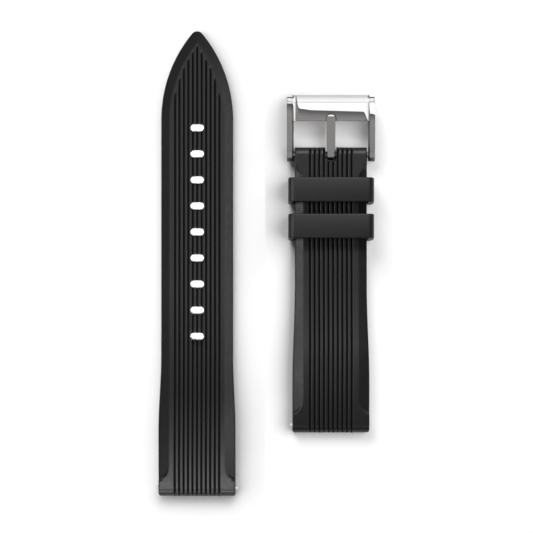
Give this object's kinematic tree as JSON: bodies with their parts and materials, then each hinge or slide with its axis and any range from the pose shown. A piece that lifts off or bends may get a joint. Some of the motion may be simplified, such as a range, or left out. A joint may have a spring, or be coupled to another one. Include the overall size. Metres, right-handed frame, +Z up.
{
  "type": "watch strap",
  "caption": "Two-piece ribbed silicone watch strap laid flat: pointed half with adjusting holes, buckle half with steel pin buckle, two keepers and sprung lug bars.",
  "frame": {"origin": "on the surface the strap lies on, under the centre of the bounding box of both halves", "axes": "+X across the straps, from the pointed half to the buckle half; +Y along the straps, towards the tip and the buckle; +Z up, out of the faces of the straps"},
  "size_m": [0.057, 0.121, 0.0088],
  "materials": {
    "silicone": "matte, moulded",
    "buckle_steel": "bright, polished edges with a brushed bridge",
    "bar_steel": "turned",
    "spring_steel": "drawn wire"
  },
  "bodies": {
    "straps": {"long_strap": "silicone", "long_lug_bar_tube": "bar_steel", "long_lug_bar_spring": "spring_steel", "short_strap": "silicone", "short_lug_bar_tube": "bar_steel", "short_lug_bar_spring": "spring_steel"},
    "long_tip_left": {"long_lug_bar_tip_left": "bar_steel"},
    "long_tip_right": {"long_lug_bar_tip_right": "bar_steel"},
    "short_tip_left": {"short_lug_bar_tip_left": "bar_steel"},
    "short_tip_right": {"short_lug_bar_tip_right": "bar_steel"},
    "first_keeper": {"buckle_keeper": "silicone"},
    "second_keeper": {"free_keeper": "silicone"},
    "buckle": {"buckle_frame": "buckle_steel", "buckle_bar_tube": "bar_steel", "buckle_bar_spring": "spring_steel"},
    "tongue": {"buckle_tongue": "buckle_steel"},
    "buckle_tip_left": {"buckle_bar_tip_left": "bar_steel"},
    "buckle_tip_right": {"buckle_bar_tip_right": "bar_steel"}
  },
  "joints": [
    {"name": "long_tip_left_push", "type": "slide", "parent": "straps", "child": "long_tip_left", "axis": [1, 0, 0], "range_m": [0, 0.0009], "stiffness_N_per_m": 150, "deforming": ["long_lug_bar_spring"]},
    {"name": "long_tip_right_push", "type": "slide", "parent": "straps", "child": "long_tip_right", "axis": [-1, 0, 0], "range_m": [0, 0.0009], "stiffness_N_per_m": 150, "deforming": ["long_lug_bar_spring"]},
    {"name": "short_tip_left_push", "type": "slide", "parent": "straps", "child": "short_tip_left", "axis": [1, 0, 0], "range_m": [0, 0.0009], "stiffness_N_per_m": 150, "deforming": ["short_lug_bar_spring"]},
    {"name": "short_tip_right_push", "type": "slide", "parent": "straps", "child": "short_tip_right", "axis": [-1, 0, 0], "range_m": [0, 0.0009], "stiffness_N_per_m": 150, "deforming": ["short_lug_bar_spring"]},
    {"name": "buckle_keeper_slide", "type": "slide", "parent": "straps", "child": "first_keeper", "axis": [0, 1, 0], "range_m": [-0.0011, 0.003]},
    {"name": "free_keeper_slide", "type": "slide", "parent": "straps", "child": "second_keeper", "axis": [0, 1, 0], "range_m": [-0.009, 0.0011]},
    {"name": "buckle_hinge", "type": "hinge", "parent": "straps", "child": "buckle", "pos_m": [0.01702, 0.02825, 0.0025], "axis": [1, 0, 0], "range_deg": [-60, 20]},
    {"name": "tongue_hinge", "type": "hinge", "parent": "buckle", "child": "tongue", "pos_m": [0.01702, 0.02825, 0.0025], "axis": [1, 0, 0], "range_deg": [0, 65]},
    {"name": "buckle_tip_left_push", "type": "slide", "parent": "buckle", "child": "buckle_tip_left", "axis": [1, 0, 0], "range_m": [0, 0.0013], "stiffness_N_per_m": 150, "deforming": ["buckle_bar_spring"]},
    {"name": "buckle_tip_right_push", "type": "slide", "parent": "buckle", "child": "buckle_tip_right", "axis": [-1, 0, 0], "range_m": [0, 0.0013], "stiffness_N_per_m": 150, "deforming": ["buckle_bar_spring"]}
  ]
}
